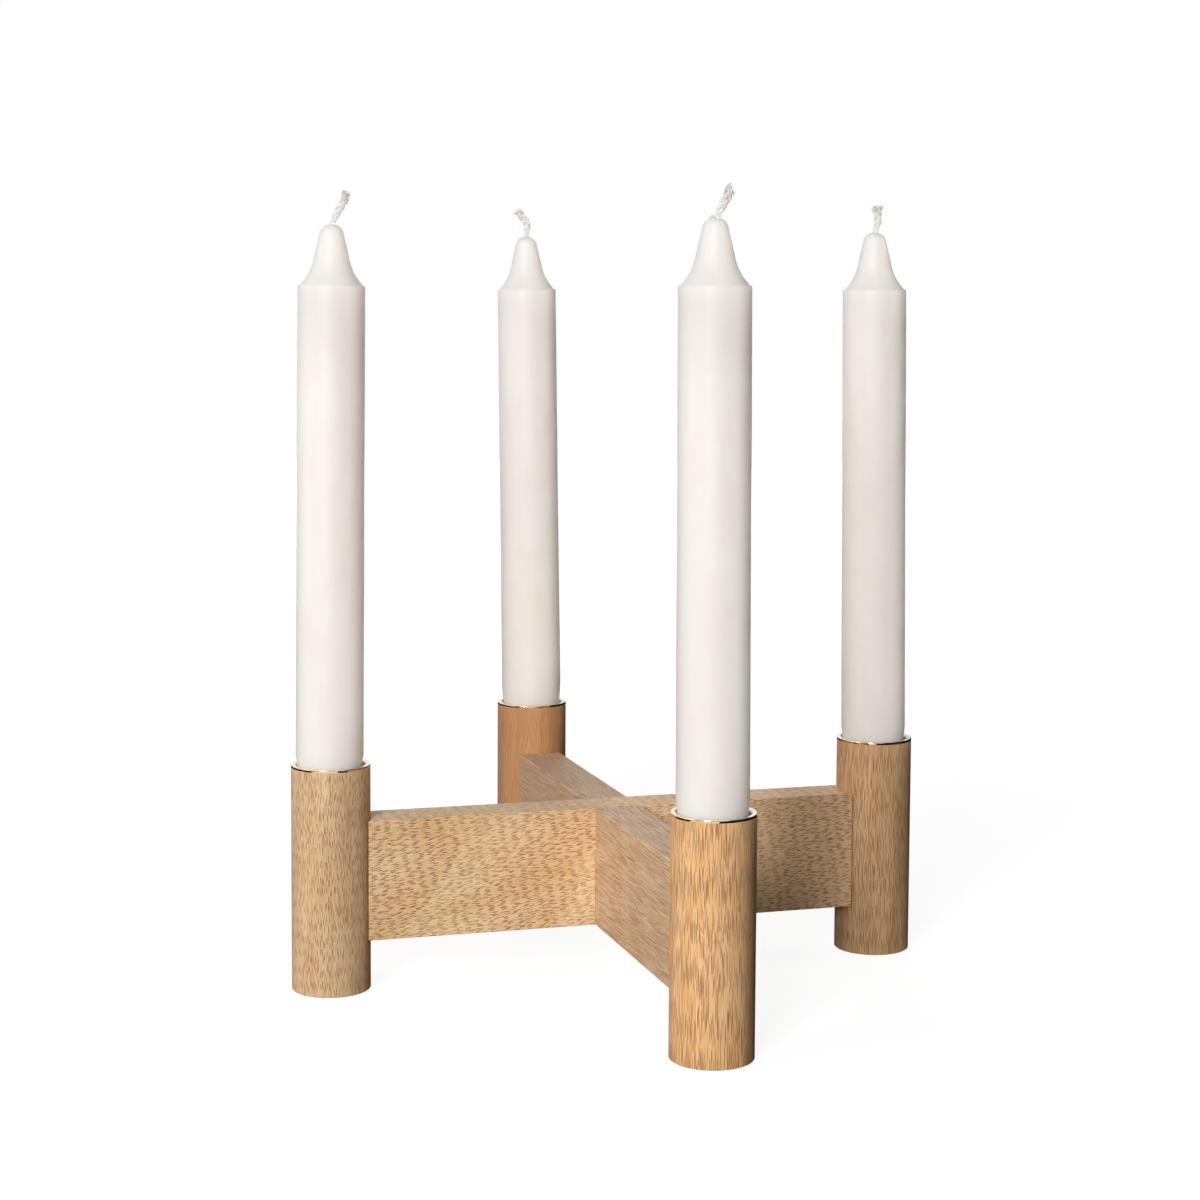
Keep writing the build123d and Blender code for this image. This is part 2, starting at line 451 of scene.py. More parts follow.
def wood_finish(node, board, settings):
    """Oiled hardwood: soft growth rings, fine fibres and dark open pores, all along the grain."""
    finish = Finish(f"{node}_wood", {"Sheen Weight": 0.08, "Sheen Tint": (0.8, 0.9, 1.0, 1.0)})
    tilt = Euler([math.radians(angle) for angle in board.tilt]).to_matrix()
    turn = (tilt @ GRAIN_TURNS[board.grain].to_matrix()).to_euler()
    grain = finish.mapped(finish.place(), (1 / MM,) * 3, turn, board.offset)

    sway = finish.clouds(grain, (0.03, 0.09, 0.09), output="Color")
    sway = finish.vector("MULTIPLY", finish.vector("SUBTRACT", sway, (0.5, 0.5, 0.5)), (0, 4.0, 4.0))
    path = finish.vector("ADD", grain, sway)

    patches = finish.clouds(path, (0.022, 0.06, 0.06), 2.0)
    streaks = finish.clouds(path, (0.03, 0.5, 0.5), 3.0)
    width = board.line_width
    hairs = finish.clouds(path, (1 / board.line_length, 1 / width, 1 / width), 2.0)
    band = (finish.part(path, board.band_way) / board.band_width + patches * 0.8).part_of_one()
    band = band.step(0.0, 0.9) * band.step(1.0, 0.94)

    depth = 0.5 + (patches - 0.5) + (streaks - 0.5) * 1.2 + (band - 0.4) * board.band_strength
    colour = finish.blend(depth, opaque(board.light), opaque(board.deep))
    colour = finish.blend(patches.step(0.45, 0.7) * board.golden, colour, opaque(settings.gold))
    along = finish.part(grain, (1, 0, 0))
    if board.grain == "Z":
        across = round_surface(finish, node)
        span = across
    else:
        across = finish.part(grain, (0, 1, 1))
        span = along - board.offset[0]
    # Painted light and shade: the far tone lightens the shaded right end of the left-right bar, and
    # darkens the far end of the front-back bar and the right side of the front post
    colour = finish.blend(span.step(*board.painted_shading_span) * board.painted_shading_share, colour, opaque(board.far))
    lines = hairs.step(0.46, 0.66) * board.line_strength
    colour = finish.blend(lines, colour, opaque(settings.line_colour))

    across = across + finish.part(sway, (0, 0.3, 0.3))
    surface = finish.node("ShaderNodeCombineXYZ", {}, {"X": along, "Y": across})
    share = board.pore_share
    scale = (1 / board.pore_length, 1 / board.pore_width, 1)
    spots, luck = finish.cells(surface, scale)
    # Painted highlight: a paler rim beside each pore, as if its lower wall caught the light
    highlight_spots, highlight_luck = finish.cells(surface, scale, (0, PORE_HIGHLIGHT_SHIFT / board.pore_width, 0))
    edges = highlight_spots.step(share, share * 0.5) * highlight_luck.step(0.1, 0.6, 0.3, 1.0)
    colour = finish.blend(edges * board.pore_strength * 0.55, colour, opaque(settings.pore_highlight))
    pores = spots.step(share, share * 0.7) * luck.step(0.1, 0.6, 0.55, 1.0) * board.pore_strength
    pores = pores * band.step(0.0, 0.6, 0.75, 1.0)
    colour = finish.blend(pores, colour, opaque(settings.pore_colour))

    finish.feed("Base Color", colour)
    finish.feed("Roughness", settings.roughness + pores * 0.2 + (hairs - 0.5) * 0.2)
    finish.bump(hairs * 0.4 - pores, settings.pore_depth, 0.8)
    return finish.material


def plain_wood_finish(name, settings):
    """Straight, light-toned wood, turned into dowels."""
    finish = Finish(name, {"Roughness": 0.6})
    point = finish.place()
    fleck = finish.clouds(point, (700, 700, 700), 3.0)
    shade = tuple(0.8 * level for level in settings.dowel_colour)
    finish.feed("Base Color", finish.blend(fleck, opaque(settings.dowel_colour), opaque(shade)))
    finish.bump(fleck, 0.05 * MM)
    return finish.material


def set_material(node, material):
    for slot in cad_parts[node].material_slots:
        slot.material = material


class CANDLEHOLDER_OT_wood(bpy.types.Operator):
    """Give each post and bar its own wood, and the hidden dowels theirs"""
    bl_idname = "candleholder.wood"
    bl_label = "Finish the wood"

    def execute(self, context):
        settings = context.scene.holder_wood
        for node, board in BOARDS.items():
            set_material(node, wood_finish(node, board, settings))
        dowel_wood = plain_wood_finish("dowel_wood", settings)
        for side in SIDES:
            for level in ("lower", "upper"):
                set_material(f"{side}_{level}_dowel", dowel_wood)
        return {"FINISHED"}


# Brass

# Millimetres from a cup's middle to where its mouth rounds off, and over which the brass changes there
CUP_MOUTH = 11.8
CUP_MOUTH_BLEND = 0.3
# Turning lines in each millimetre
TURNING_LINES = 9.0


def brass_finish(name, node, settings):
    """Spun and polished brass, with faint turning lines round the cup and a little tarnish. Its upward
    faces have a paler colour painted as the reflection of the white room, and the inside of its mouth the
    same colour as painted light.
    """
    finish = Finish(name, {"Metallic": 1.0})
    point = from_middle(finish, node)
    around = finish.vector("MULTIPLY", point, (1, 1, 0))
    radius = finish.vector("LENGTH", around, (0, 0, 0), output="Value")
    rings = {"W": radius * TURNING_LINES, "Scale": 1.0}
    lines = finish.node("ShaderNodeTexNoise", {"noise_dimensions": "1D"}, rings)
    smudge = finish.clouds(point, (0.25, 0.25, 0.25), 3.0)
    upward = finish.part(finish.node("ShaderNodeTexCoord", output="Normal"), (0, 0, 1)).step(0.5, 0.9)
    inside = radius.step(CUP_MOUTH + CUP_MOUTH_BLEND, CUP_MOUTH)
    colour = finish.blend(smudge.step(0.45, 0.75), opaque(settings.colour), opaque(settings.tarnish))
    # Painted reflection and painted light: faces that point up and the inside of the mouth take the paler
    # colour
    finish.feed("Base Color", finish.blend(upward.most(inside), colour, opaque(settings.painted_reflection)))
    finish.feed("Roughness", 0.06 + smudge * 0.06 + lines * 0.04 + inside * 0.35)
    finish.bump(lines, 0.004 * MM, 0.3)
    return finish.material


class CANDLEHOLDER_OT_cups(bpy.types.Operator):
    """Polish the four brass cups"""
    bl_idname = "candleholder.cups"
    bl_label = "Finish the cups"

    def execute(self, context):
        settings = context.scene.holder_brass
        for side in SIDES:
            cup = f"{side}_cup"
            set_material(cup, brass_finish(f"{side}_brass", cup, settings))
        return {"FINISHED"}


# Candles

# How each candle stands: millimetres off its cup's middle and degrees of lean, both towards the right
STANDS = {"left": (-0.5, 0.4), "right": (-0.1, -0.7), "front": (-0.2, -0.3), "back": (0.3, -0.9)}
TURN_STEPS = 96
MERGE_DISTANCE = 0.001 * MM
# Small forms of every candle
FOOT_ROUND = 0.8 * MM
PARING_ROUND = 1.5 * MM
SHOULDER_ROUND = 0.2 * MM
LEDGE_RISE = 0.15 * MM
WICK_HOLLOW_RADIUS = 1.6 * MM
WICK_HOLLOW_DEPTH = 0.8 * MM
# How far the wax is uneven, outside which radius, and how far apart the candles' patterns lie
WAX_WAVE = 0.05 * MM
EVEN_TIP_RADIUS = 2.2 * MM
WAVE_APART = 7.3
# Knife marks on the back candle's foot
SHAVED_BEARING = math.radians(-35)
SHAVED_HEIGHT = 8 * MM
SHAVED_DEPTH = 0.55 * MM
SHAVED_EDGE = 0.35
# A drop of wax at the front candle's tip
NUB_OFFSET = 0.9 * MM
NUB_RADIUS = 1.3 * MM
NUB_HEIGHT = 0.9 * MM


def candle_stand(side):
    """The place of a candle: its foot on the floor of the cup, with the candle's slight lean."""
    settings = bpy.context.scene.holder_candle
    shift, lean = STANDS[side]
    end_lift = (settings.end_radius - settings.end_chamfer) * math.sin(math.radians(abs(lean)))
    foot = middle(f"{side}_post")
    foot.x += shift * MM
    foot.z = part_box(f"{side}_candle")[0].z + end_lift
    return Matrix.Translation(foot) @ Matrix.Rotation(math.radians(lean), 4, "Y")


def arc_from(start, along, end, steps):
    """Points on the arc that leaves start in one direction and reaches end, without start itself."""
    start, end = Vector(start), Vector(end)
    across = Vector((-along[1], along[0])).normalized()
    chord = end - start
    swing = chord.length_squared / (2 * across.dot(chord))
    centre = start + across * swing
    first, last = start - centre, end - centre
    turn = last.angle_signed(first)
    return [centre + Matrix.Rotation(turn * step / steps, 2) @ first for step in range(1, steps + 1)]


def rounded(before, corner, after, radius, steps):
    """Points round a corner of an outline, from the side of before to the side of after."""
    corner = Vector(corner)
    back, ahead = (Vector(before) - corner).normalized(), (Vector(after) - corner).normalized()
    reach = radius / math.tan(back.angle(ahead) / 2)
    start, end = corner + back * reach, corner + ahead * reach
    return [start, *arc_from(start, -back, end, steps)]


def candle_profile(settings):
    """A candle's outline as (radius, height) points, from the middle of its foot to its tip."""
    s = settings
    shoulder_height = s.length - s.crown_height
    shoulder = Vector((s.shoulder_radius, shoulder_height))
    ledge = Vector((s.shoulder_radius - s.ledge, shoulder_height + LEDGE_RISE))
    waist = Vector((s.waist_radius, shoulder_height + s.waist_height))
    tip = Vector((s.tip_radius, s.length))
    top = Vector((0, s.length))
    paring = Vector((s.body_radius, s.foot_top + s.paring_height))
    foot = Vector((s.foot_radius, s.foot_top))
    end = Vector((s.end_radius, 0))
    crown = arc_from(waist, waist - tip, ledge, 18)
    crown.reverse()
    base = [paring.lerp(shoulder, step / 150) for step in range(1, 15)]
    body = [paring.lerp(shoulder, step / 30) for step in range(3, 30)]
    chamfer = Vector((s.end_radius - s.end_chamfer, 0))
    return [
        Vector((0, WICK_HOLLOW_DEPTH)), Vector((WICK_HOLLOW_RADIUS, 0)),
        chamfer, end + Vector((0, s.end_chamfer)), end.lerp(foot, 0.35), end.lerp(foot, 0.7),
        *rounded(end, foot, paring, FOOT_ROUND, 3),
        *rounded(foot, paring, shoulder, PARING_ROUND, 4), *base, *body,
        *rounded(paring, shoulder, ledge, SHOULDER_ROUND, 3), *crown[:-1], waist,
        waist.lerp(tip, 0.25), waist.lerp(tip, 0.5), *rounded(waist, tip, top, s.tip_round, 8), top,
    ]


def turned(profile, steps):
    """A closed mesh turned about Z from an outline that starts and ends on the axis."""
    made = bmesh.new()
    line = [made.verts.new((radius, 0, height)) for radius, height in profile]
    edges = [made.edges.new(pair) for pair in zip(line, line[1:])]
    bmesh.ops.spin(made, geom=line + edges, cent=(0, 0, 0), axis=(0, 0, 1), dvec=(0, 0, 0),
                   angle=FULL_TURN, steps=steps, use_merge=True)
    bmesh.ops.remove_doubles(made, verts=made.verts, dist=MERGE_DISTANCE)
    bmesh.ops.recalc_face_normals(made, faces=made.faces)
    return made


def add_piece(name, made, material, sharp_angle):
    """Turns a bmesh into an object with smooth faces and one material."""
    mesh = bpy.data.meshes.new(name)
    made.to_mesh(mesh)
    made.free()
    mesh.shade_smooth()
    mesh.set_sharp_from_angle(angle=math.radians(sharp_angle))
    mesh.materials.append(material)
    piece = bpy.data.objects.new(name, mesh)
    bpy.context.scene.collection.objects.link(piece)
    return piece


def uneven_wax(made, seed):
    """Moves the skin of a candle a little in and out, as pressed wax does."""
    for vert in made.verts:
        out = Vector((vert.co.x, vert.co.y, 0))
        if out.length > EVEN_TIP_RADIUS:
            broad = noise.noise(Vector((vert.co.x * 60, vert.co.y * 60, vert.co.z * 18 + seed)))
            vert.co += out.normalized() * broad * WAX_WAVE


def shave(made, settings):
    """Rough knife marks on one side of a candle's foot, where wax was pared off to fit the cup."""
    shaved_way = Vector((math.cos(SHAVED_BEARING), math.sin(SHAVED_BEARING), 0))
    for vert in made.verts:
        out = Vector((vert.co.x, vert.co.y, 0))
        up = (vert.co.z - settings.foot_top) / SHAVED_HEIGHT
        if 0 < up < 1 and out.length > settings.end_radius:
            facing = max(0.0, out.normalized().dot(shaved_way) - SHAVED_EDGE) / (1 - SHAVED_EDGE)
            lumps = 0.55 + 0.9 * noise.noise(Vector((vert.co.x * 450, vert.co.y * 450, vert.co.z * 330)))
            cut = facing ** 0.5 * (1 - up) ** 0.7 * max(0.0, lumps) * SHAVED_DEPTH
            vert.co -= out.normalized() * cut


def add_nub(made, settings):
    """A drop of wax left standing beside the wick."""
    centre = Vector((0, 0, settings.length)) - side_way() * NUB_OFFSET
    for vert in made.verts:
        near = 1 - (vert.co - centre).length / NUB_RADIUS
        if near > 0:
            vert.co.z += math.sin(near * math.pi / 2) * NUB_HEIGHT


def wax_finish(name, settings):
    """Pressed ivory wax: light passes a little way in, under a satin skin with faint lines along it."""
    finish = Finish(name, {
        "Subsurface Weight": 1.0,
        "Subsurface Radius": (1.0, 0.97, 0.94),
        "Subsurface Scale": 8 * MM,
    })
    point = finish.place()
    bloom = finish.clouds(point, (140, 140, 50), 3.0)
    drawn = finish.clouds(point, (900, 900, 12), 2.0)
    speck = finish.clouds(point, (1400, 1400, 1400), 2.0)
    colour = finish.blend(bloom.step(0.35, 0.75), opaque(settings.colour), opaque(settings.warm_colour))
    # Painted shade: a darker wax colour from the upper body up through the crown
    crown = finish.part(point, (0, 0, 1)).step(settings.crown_shade_start, settings.crown_shade_full)
    finish.feed("Base Color", finish.blend(crown, colour, opaque(settings.crown_painted_shade)))
    finish.feed("Roughness", 0.38 + bloom * 0.12 + speck * 0.06)
    finish.bump(drawn * 0.6 + speck * 0.25 + bloom, 0.05 * MM, 0.5)
    return finish.material


class CANDLEHOLDER_OT_candles(bpy.types.Operator):
    """Turn the four crown candles and stand them in their cups"""
    bl_idname = "candleholder.candles"
    bl_label = "Make the candles"

    def execute(self, context):
        settings = context.scene.holder_candle
        wax = wax_finish("candle_wax", settings)
        for number, side in enumerate(SIDES):
            made = turned(candle_profile(settings), TURN_STEPS)
            uneven_wax(made, WAVE_APART * number)
            if side == "back":
                shave(made, settings)
            if side == "front":
                add_nub(made, settings)
            bmesh.ops.transform(made, matrix=candle_stand(side), verts=made.verts)
            candle = add_piece(f"{side}_candle_wax", made, wax, sharp_angle=38)
            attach(candle, f"{side}_light")
            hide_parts(f"{side}_candle")
        return {"FINISHED"}


# Wicks

# Each wick's route above the tip of its candle to the end of its braid: millimetres sideways and up
WICK_ROUTES = {
    "left": [(0, -3), (0.1, 0.3), (1.3, 2.8), (2.4, 4.9), (3.5, 6.9), (4.1, 8.2)],
    "right": [(0, -3), (0.1, 0.4), (1.0, 3.2), (1.2, 5.2), (0.9, 6.8)],
    "front": [(0, -3), (0.2, 0.3), (1.4, 2.4), (2.3, 4.2), (3.1, 5.8)],
    "back": [(0, -3), (0.1, 0.5), (0.5, 3.2), (0.4, 5.4), (-1.0, 7.2)],
}
# Where the three loose strands go from there: millimetres sideways, up and towards the back
LOOSE_ENDS = {
    "left": [(0.1, 2.9, 0.4), (0.8, 2.6, 0), (0.4, 2.5, -0.4)],
    "right": [(-2.2, 1.6, 0.2), (0.1, 2.7, 0.4), (1.9, 2.5, -0.2)],
    "front": [(0.7, 4.2, 0.4), (1.6, 3.9, 0.1), (2.6, 2.0, -0.5)],
    "back": [(-1.2, 3.4, 0.3), (-1.9, 3.0, 0), (-3.8, 1.9, -0.3)],
}
BRAID_STEPS = 48
LOOSE_STEPS = 12
WICK_BEARING = math.radians(-17)
WICK_SEED = 31
# How wide a wick is at the wax and at the end of its braid
FLARE_START = 0.6
FLARE_END = 1.3
# Radians between the fibres round a strand and along one step, and millimetres that they stray
FIBRE_APART = 2.4
FIBRE_TWIST = 0.06
FIBRE_STRAY = 0.12
# The plain part of a wick inside the wax
WICK_RADIUS = 1.2 * MM
WICK_FOOT = 0.02 * MM
WICK_COVER = 2 * MM


def side_way():
    """The way in which the wicks bend."""
    return Vector((math.cos(WICK_BEARING), math.sin(WICK_BEARING), 0))


def back_way():
    """Level, and square to the way in which the wicks bend."""
    return Vector((-math.sin(WICK_BEARING), math.cos(WICK_BEARING), 0))


def new_curve(name):
    curve = bpy.data.curves.new(name, "CURVE")
    curve.dimensions = "3D"
    return curve


def curve_mesh(curve):
    """The mesh that a curve makes. The curve is used up."""
    holder = bpy.data.objects.new(curve.name, curve)
    bpy.context.scene.collection.objects.link(holder)
    bpy.context.view_layer.update()
    depsgraph = bpy.context.evaluated_depsgraph_get()
    mesh = bpy.data.meshes.new_from_object(holder.evaluated_get(depsgraph))
    bpy.data.objects.remove(holder)
    bpy.data.curves.remove(curve)
    return mesh


def smooth_route(points):
    """Points along a smooth line drawn by a few control points."""
    curve = new_curve("route")
    curve.resolution_u = 16
    spline = curve.splines.new("NURBS")
    spline.points.add(len(points) - 1)
    for target, point in zip(spline.points, points):
        target.co = (*point, 1.0)
    spline.order_u = 3
    spline.use_endpoint_u = True
    mesh = curve_mesh(curve)
    route = [vert.co.copy() for vert in mesh.vertices]
    bpy.data.meshes.remove(mesh)
    return route


def even_points(route, count):
    """The same line, with points at even spacing, and its length."""
    lengths = [0.0]
    for first, second in zip(route, route[1:]):
        lengths.append(lengths[-1] + (second - first).length)
    points = []
    index = 0
    for step in range(count):
        goal = lengths[-1] * step / (count - 1)
        while index < len(route) - 2 and lengths[index + 1] < goal:
            index += 1
        span = lengths[index + 1] - lengths[index]
        points.append(route[index].lerp(route[index + 1], (goal - lengths[index]) / span))
    return points, lengths[-1]


def add_fibre(curve, points, radii):
    """One fibre: a round tube along some points."""
    spline = curve.splines.new("POLY")
    spline.points.add(len(points) - 1)
    for target, point, radius in zip(spline.points, points, radii):
        target.co = (*point, 1.0)
        target.radius = radius


def flare(index):
    """How wide a wick is at a step along it: tight at the wax and looser towards its end."""
    return FLARE_START + (FLARE_END - FLARE_START) * min(1.0, index / BRAID_STEPS)


def way_across(line, index):
    """The way across a wick at a step along it, square to the line and in the plane of its bend."""
    before = line[max(index - 1, 0)]
    after = line[min(index + 1, len(line) - 1)]
    return back_way().cross(after - before).normalized()


def strand_line(points, length, phase, end, settings):
    """The middle of one strand: plaited along the route, then loose to its own end."""
    line = []
    for index, point in enumerate(points):
        swing = FULL_TURN * (length * index / (len(points) - 1) / settings.braid_period + phase)
        width = settings.braid_width * flare(index)
        sideways = way_across(points, index) * width * math.sin(swing)
        line.append(point + sideways + back_way() * 0.5 * width * math.sin(2 * swing))
    start, goal = line[-1], points[-1] + end
    bend = start + (line[-1] - line[-4]).normalized() * (goal - start).length * 0.45
    for step in range(1, LOOSE_STEPS + 1):
        share = step / LOOSE_STEPS
        line.append(start.lerp(bend, share).lerp(bend.lerp(goal, share), share))
    return line


def bundle(curve, line, settings, chance):
    """The fibres of one strand, twisted round its middle and fanned out at its loose end."""
    s = settings
    core = []
    for index in range(2, len(line)):
        core.append(s.strand_radius * min(flare(index), 0.4 + 0.05 * (len(line) - index)))
    add_fibre(curve, line[:-2], core)
    for number in range(s.fibres):
        share_out = math.sqrt((number + 0.5) / s.fibres)
        stray = Vector([chance.gauss(0, FIBRE_STRAY) for axis in range(3)]) * MM
        last = len(line) - chance.randrange(LOOSE_STEPS // 3)
        points = []
        radii = []
        for index in range(last):
            loose = max(0.0, (index - BRAID_STEPS) / LOOSE_STEPS)
            angle = number * FIBRE_APART + index * FIBRE_TWIST
            reach = s.strand_radius * flare(index) * (0.9 - 0.9 * loose + 1.15 * share_out * loose)
            offset = way_across(line, index) * math.cos(angle) + back_way() * math.sin(angle)
            points.append(line[index] + offset * reach + stray * loose * loose * 2)
            radii.append(s.fibre_radius * (1 - 0.45 * loose))
        add_fibre(curve, points, radii)


def cotton_finish(name, settings):
    """Bleached cotton yarn, a little waxed: soft fibres with shade between them."""
    finish = Finish(name, {"Sheen Weight": 0.2})
    point = finish.place()
    fuzz = finish.clouds(point, (4200, 4200, 1600), 3.0)
    colour = finish.blend(fuzz.step(0.35, 0.7), opaque(settings.colour), opaque(settings.shade))
    finish.feed("Base Color", colour)
    finish.feed("Roughness", 0.7 + fuzz * 0.25)
    finish.bump(fuzz, 0.04 * MM, 0.2)
    return finish.material


def braid(side, settings, candle_length):
    """One wick, for a candle that stands upright on the origin."""
    chance = random.Random(WICK_SEED + SIDES.index(side))
    tip = Vector((0, 0, candle_length))
    controls = []
    for out, up in WICK_ROUTES[side]:
        controls.append(tip + side_way() * out * MM + Vector((0, 0, up * MM)))
    points, length = even_points(smooth_route(controls), BRAID_STEPS)
    curve = new_curve(f"{side}_wick_fibres")
    curve.bevel_depth = 1.0
    curve.bevel_resolution = 1
    curve.use_fill_caps = True
    for strand, (out, up, back) in enumerate(LOOSE_ENDS[side]):
        end = (side_way() * out + Vector((0, 0, up)) + back_way() * back) * MM
        bundle(curve, strand_line(points, length, strand / 3, end, settings), settings, chance)
    covered = [Vector((0, 0, WICK_FOOT)), tip - Vector((0, 0, WICK_COVER))]
    add_fibre(curve, covered, [WICK_RADIUS, WICK_RADIUS])
    mesh = curve_mesh(curve)
    made = bmesh.new()
    made.from_mesh(mesh)
    bpy.data.meshes.remove(mesh)
    return made


class CANDLEHOLDER_OT_wicks(bpy.types.Operator):
    """Braid the four wicks and fray their ends"""
    bl_idname = "candleholder.wicks"
    bl_label = "Make the wicks"

    def execute(self, context):
        settings = context.scene.holder_wick
        candle = context.scene.holder_candle
        cotton = cotton_finish("wick_cotton", settings)
        for side in SIDES:
            made = braid(side, settings, candle.length)
            bmesh.ops.transform(made, matrix=candle_stand(side), verts=made.verts)
            wick = add_piece(f"{side}_wick_braid", made, cotton, sharp_angle=60)
            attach(wick, f"{side}_light")
            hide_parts(f"{side}_wick")
        return {"FINISHED"}


# Stage

# Millimetres across the camera's sensor
SENSOR_WIDTH = 36.0
# Half the floor's width in metres, its paint, and the part of its white that takes a shadow
FLOOR_REACH = 3.0
FLOOR_PAINT = (0.26, 0.26, 0.26, 1)
FLOOR_VEIL = (0.22, 0.22, 0.22, 1)
# Metres to the black flags on both sides, to the front flag and the far ends of the other two,
# and to their lower and upper edges
FLAG_SIDES = (-3.0, 0.7)
FLAG_DEPTHS = (-4.0, 0.2, 1.3)
FLAG_HEIGHTS = (0.0005, 1.8)
# The left and right edges, and the near and far edges, of the opening in the black cloth on the table
OPENING_SIDES = (-0.46, -0.03)
OPENING_DEPTHS = (-0.6, -0.15)
# A tint as of light off the wood
WARM = (1.0, 0.92, 0.84)


class Lamp(NamedTuple):
    """An area light, in metres. A spread of less than 180 degrees is a grid on it."""
    place: tuple
    target: tuple
    width: float
    height: float
    spread: float = 180
    tint: tuple = (1, 1, 1)
    in_reflections: bool = True


LAMPS = {
    "key": Lamp(place=(-1.84, -2.62, 1.36), target=(0, 0, 0.12), width=0.95, height=1.3),
    "side": Lamp(place=(-1.4, -0.1, 0.6), target=(0, 0, 0.12), width=0.9, height=0.9, tint=WARM),
    "top": Lamp(place=(0.15, 0.3, 1.6), target=(0, 0, 0.1), width=0.8, height=0.8),
    "rear": Lamp(
        place=(0.75, 2.5, 0.7), target=(0, 0, 0.12), width=0.9, height=0.9, in_reflections=False),
    "candle": Lamp(
        place=(0.76, -0.48, 0.17), target=(0, 0, 0.17), width=0.4, height=0.19, spread=3, tint=WARM),
    "crown": Lamp(
        place=(0.76, -0.48, 0.247), target=(0, 0, 0.247), width=0.4, height=0.036, spread=3, tint=WARM),
}
# Two candles that stand in the shade, and how much of the shaded candle light each of them gets
SHADED_CANDLES = {"right": 1.0, "back": 0.75}
# The way from them to their gridded lights, and the lights' height
SHADED_WAY = Vector((-0.123, -0.041, 0))
SHADED_HEIGHT = 0.135


def seen_directly(nodes):
    """1 for what is seen directly, in metal or through glass, and 0 for light on its way."""
    camera = nodes.node("ShaderNodeLightPath", output="Is Camera Ray")
    return camera.most(camera.other("Is Glossy Ray")).most(camera.other("Is Transmission Ray"))


def floor_finish():
    """A white floor: plain white paint for the light, and white with only a soft shadow for the eye."""
    finish = Finish("floor_white", {
        "Base Color": FLOOR_PAINT, "Roughness": 1.0, "Specular IOR Level": 0.0})
    distance = finish.vector("LENGTH", finish.place(), (0, 0, 0), output="Value")
    level = distance.step(low=0.25, high=0.8, start=0.9, end=1.0)
    glow = finish.node("ShaderNodeEmission", {}, {"Color": level})
    veil = finish.node("ShaderNodeBsdfDiffuse", {}, {"Color": FLOOR_VEIL})
    white = finish.node("ShaderNodeAddShader", {}, {0: glow, 1: veil})
    paint = Value(finish, finish.shader.outputs[0])
    surface = finish.node("ShaderNodeMixShader", {}, {0: seen_directly(finish), 1: paint, 2: white})
    finish.plug(finish.tree.nodes["Material Output"].inputs["Surface"], surface)
    return finish.material


def flag_finish():
    """Matt black cloth, as studios use to give bright metal something dark to show."""
    finish = Finish("black_flag", {"Base Color": (0.02, 0.02, 0.02, 1), "Specular IOR Level": 0.0})
    finish.feed("Roughness", 0.8 + finish.clouds(finish.place(), (40, 40, 40)) * 0.2)
    return finish.material


def add_flags():
    """Black flags on three sides and a black cloth on the table, which only reflections see."""
    made = bmesh.new()
    (x0, x1), (y0, y1, y2), (z0, z1) = FLAG_SIDES, FLAG_DEPTHS, FLAG_HEIGHTS
    (left, right), (near, far) = OPENING_SIDES, OPENING_DEPTHS
    for corners in (
        ((x0, y1, z0), (x0, y0, z0), (x0, y0, z1), (x0, y1, z1)),
        ((x0, y0, z0), (x1, y0, z0), (x1, y0, z1), (x0, y0, z1)),
        ((x1, y0, z0), (x1, y2, z0), (x1, y2, z1), (x1, y0, z1)),
        ((x0, y0, z0), (left, y0, z0), (left, y2, z0), (x0, y2, z0)),
        ((right, y0, z0), (x1, y0, z0), (x1, y2, z0), (right, y2, z0)),
        ((left, y0, z0), (right, y0, z0), (right, near, z0), (left, near, z0)),
        ((left, far, z0), (right, far, z0), (right, y2, z0), (left, y2, z0)),
    ):
        made.faces.new([made.verts.new(corner) for corner in corners])
    flags = add_piece("black_flags", made, flag_finish(), sharp_angle=30)
    flags.visible_camera = False
    flags.visible_diffuse = False
    flags.visible_shadow = False
    flags.visible_transmission = False


def add_floor():
    made = bmesh.new()
    bmesh.ops.create_grid(made, x_segments=1, y_segments=1, size=FLOOR_REACH)
    floor = add_piece("floor", made, floor_finish(), sharp_angle=30)


def white_room(ambient):
    """A white surrounding for the eye, and a low even light for the object."""
    world = bpy.data.worlds.new("white_room")
    world.use_nodes = True
    bpy.context.scene.world = world
    nodes = Nodes(world.node_tree)
    background = world.node_tree.nodes["Background"].inputs
    background["Color"].default_value = (1, 1, 1, 1)
    nodes.plug(background["Strength"], seen_directly(nodes).step(0.0, 1.0, ambient, 1.0))


def add_light(name, lamp, power):
    light = bpy.data.lights.new(name, "AREA")
    light.shape = "RECTANGLE"
    light.size = lamp.width
    light.size_y = lamp.height
    light.energy = power
    light.spread = math.radians(lamp.spread)
    light.color = lamp.tint
    aim = Vector(lamp.target) - Vector(lamp.place)
    made = bpy.data.objects.new(name, light)
    made.location = lamp.place
    made.rotation_euler = aim.to_track_quat("-Z", "Y").to_euler()
    made.visible_camera = False
    made.visible_glossy = lamp.in_reflections
    bpy.context.scene.collection.objects.link(made)


